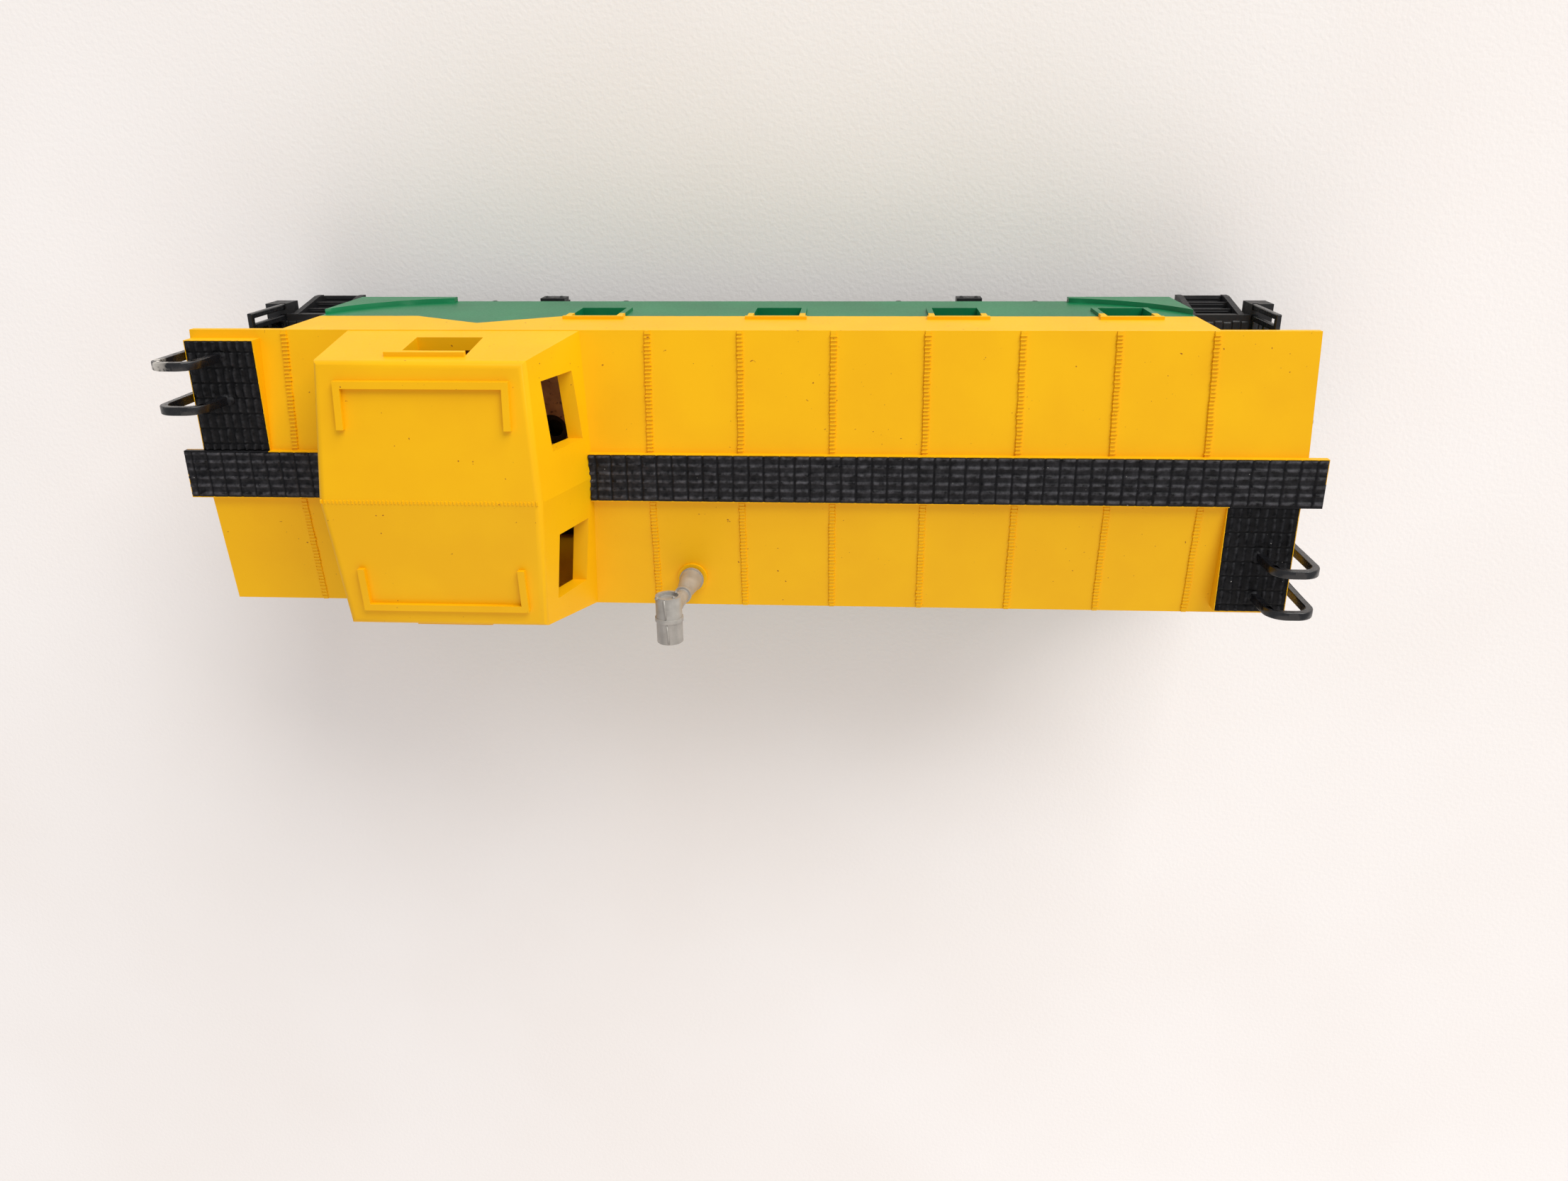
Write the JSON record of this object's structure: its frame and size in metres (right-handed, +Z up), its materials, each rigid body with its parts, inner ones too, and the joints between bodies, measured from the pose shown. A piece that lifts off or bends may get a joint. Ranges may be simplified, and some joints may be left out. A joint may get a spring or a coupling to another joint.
{
  "type": "model railway caboose",
  "caption": "Model railway caboose with full-width cupola, roof walk, end platforms with steps and ladders, swivelling sprung-look trucks and couplers.",
  "frame": {"origin": "middle of the car, on the plane that the wheel flanges stand on", "axes": "+Z up, +X along the car towards the end away from the cupola, +Y to the left when facing +X"},
  "size_m": [0.1522, 0.0356, 0.0525],
  "materials": {
    "painted_body_plastic": "satin moulded plastic, green lower sides and black walkways",
    "black_plastic": "satin",
    "silver_plastic": "silver-grey moulded",
    "wheel_plastic": "satin",
    "steel": "sheared, lightly rusted",
    "plated_steel": "zinc plated",
    "bronze": "rolled strip"
  },
  "bodies": {
    "car": {"body_shell": "painted_body_plastic", "smokejack": "silver_plastic", "underframe": "black_plastic", "weight_plate": "steel", "weight_screws": "plated_steel", "end_ladder_a": "black_plastic", "end_railing_a_left": "black_plastic", "end_railing_a_right": "black_plastic", "brake_wheel_a": "black_plastic", "kingpin_a": "plated_steel", "coupler_spring_a": "bronze", "coupler_lid_a": "black_plastic", "coupler_screw_a": "plated_steel", "end_ladder_b": "black_plastic", "end_railing_b_left": "black_plastic", "end_railing_b_right": "black_plastic", "brake_wheel_b": "black_plastic", "kingpin_b": "plated_steel", "coupler_spring_b": "bronze", "coupler_lid_b": "black_plastic", "coupler_screw_b": "plated_steel"},
    "coupler_a": {"coupler_a": "black_plastic"},
    "truck_a": {"truck_frame_a": "black_plastic"},
    "wheelset_a_outer": {"axle_a_outer": "steel", "wheel_a_outer_left": "wheel_plastic", "wheel_a_outer_right": "wheel_plastic"},
    "wheelset_a_inner": {"axle_a_inner": "steel", "wheel_a_inner_left": "wheel_plastic", "wheel_a_inner_right": "wheel_plastic"},
    "coupler_b": {"coupler_b": "black_plastic"},
    "truck_b": {"truck_frame_b": "black_plastic"},
    "wheelset_b_outer": {"axle_b_outer": "steel", "wheel_b_outer_left": "wheel_plastic", "wheel_b_outer_right": "wheel_plastic"},
    "wheelset_b_inner": {"axle_b_inner": "steel", "wheel_b_inner_left": "wheel_plastic", "wheel_b_inner_right": "wheel_plastic"}
  },
  "joints": [
    {"name": "truck_a_swivel", "type": "hinge", "parent": "car", "child": "truck_a", "pos_m": [-0.0288, 0, 0.0092], "axis": [0, 0, 1], "range_deg": [-12, 12]},
    {"name": "wheelset_a_outer_spin", "type": "hinge", "parent": "truck_a", "child": "wheelset_a_outer", "pos_m": [-0.0383, 0, 0.0054], "axis": [0, 1, 0], "continuous": true},
    {"name": "wheelset_a_inner_spin", "type": "hinge", "parent": "truck_a", "child": "wheelset_a_inner", "pos_m": [-0.0193, 0, 0.0054], "axis": [0, 1, 0], "continuous": true},
    {"name": "coupler_a_swing", "type": "hinge", "parent": "car", "child": "coupler_a", "pos_m": [-0.0626, 0, 0.0104], "axis": [0, 0, 1], "range_deg": [-8, 8], "stiffness_Nm_per_rad": 0.002},
    {"name": "truck_b_swivel", "type": "hinge", "parent": "car", "child": "truck_b", "pos_m": [0.0288, 0, 0.0092], "axis": [0, 0, 1], "range_deg": [-12, 12]},
    {"name": "wheelset_b_outer_spin", "type": "hinge", "parent": "truck_b", "child": "wheelset_b_outer", "pos_m": [0.0383, 0, 0.0054], "axis": [0, 1, 0], "continuous": true},
    {"name": "wheelset_b_inner_spin", "type": "hinge", "parent": "truck_b", "child": "wheelset_b_inner", "pos_m": [0.0193, 0, 0.0054], "axis": [0, 1, 0], "continuous": true},
    {"name": "coupler_b_swing", "type": "hinge", "parent": "car", "child": "coupler_b", "pos_m": [0.0626, 0, 0.0104], "axis": [0, 0, 1], "range_deg": [-8, 8], "stiffness_Nm_per_rad": 0.002}
  ]
}
